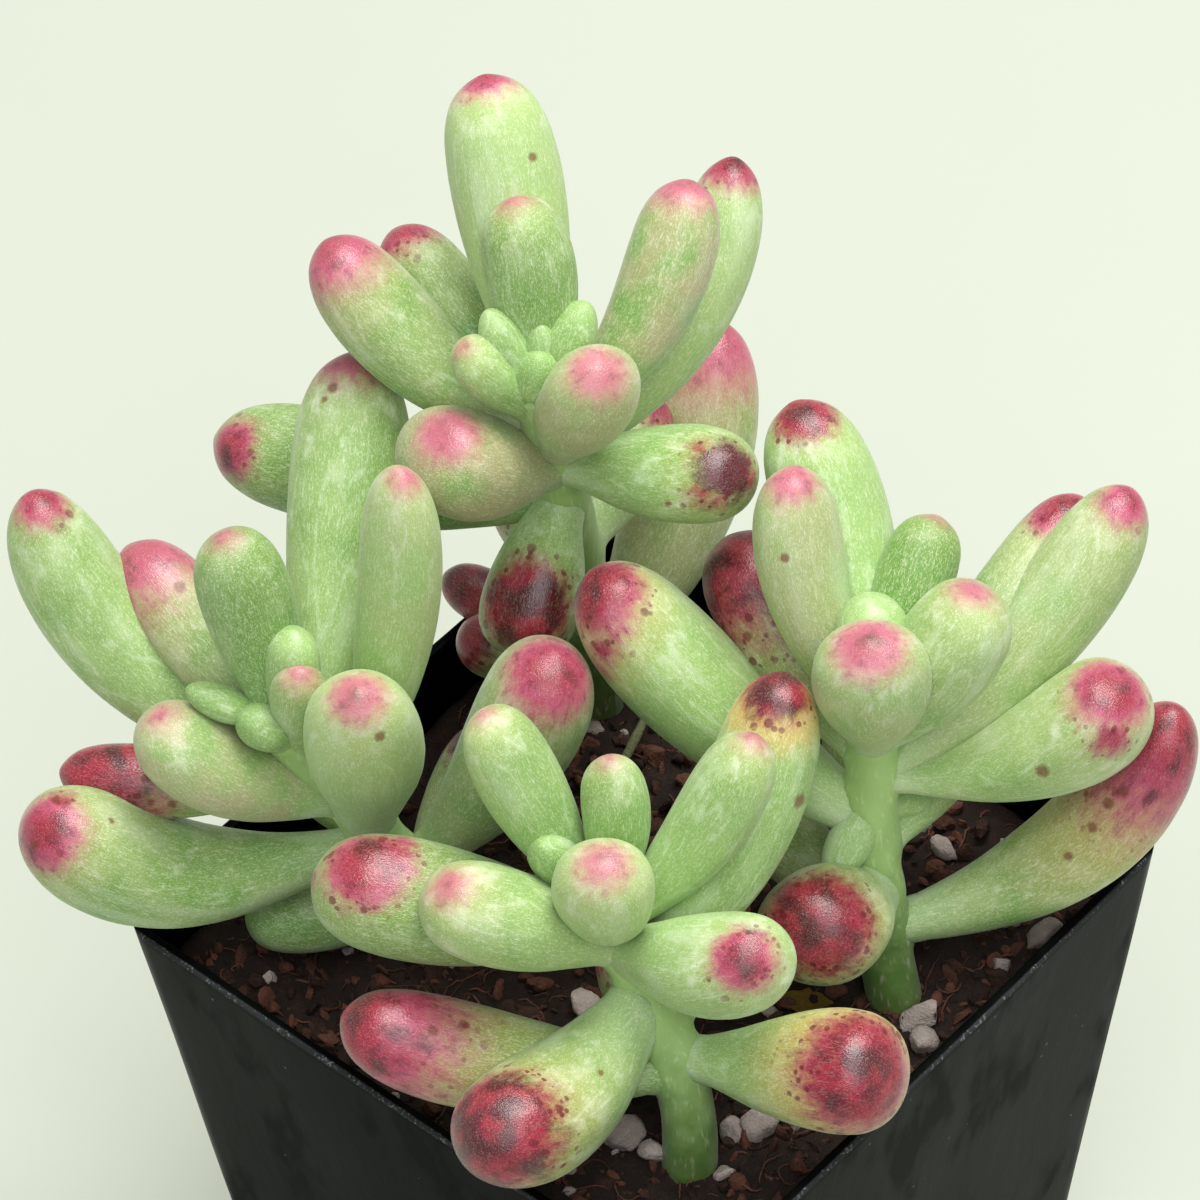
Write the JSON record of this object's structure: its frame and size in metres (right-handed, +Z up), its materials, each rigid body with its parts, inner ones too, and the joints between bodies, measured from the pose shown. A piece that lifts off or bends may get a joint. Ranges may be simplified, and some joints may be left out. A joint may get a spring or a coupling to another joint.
{
  "type": "potted succulent",
  "caption": "Small clump of a club-leaved sedum, its plump green leaves tipped in red, rooted in potting mix in a square tapered nursery pot.",
  "frame": {"origin": "middle of the pot's flat underside", "axes": "+Z up from the surface the pot stands on, X and Y square to the pot's sides"},
  "size_m": [0.0769, 0.0715, 0.1119],
  "materials": {
    "pot_plastic": "gloss",
    "potting_mix": "matte",
    "sedum_leaf": "satin"
  },
  "bodies": {
    "root": {"pot": "pot_plastic", "potting_mix": "potting_mix", "leafy_stem_upper": "sedum_leaf", "leafy_stem_left": "sedum_leaf", "leafy_stem_right": "sedum_leaf", "leafy_stem_front": "sedum_leaf"}
  },
  "joints": []
}
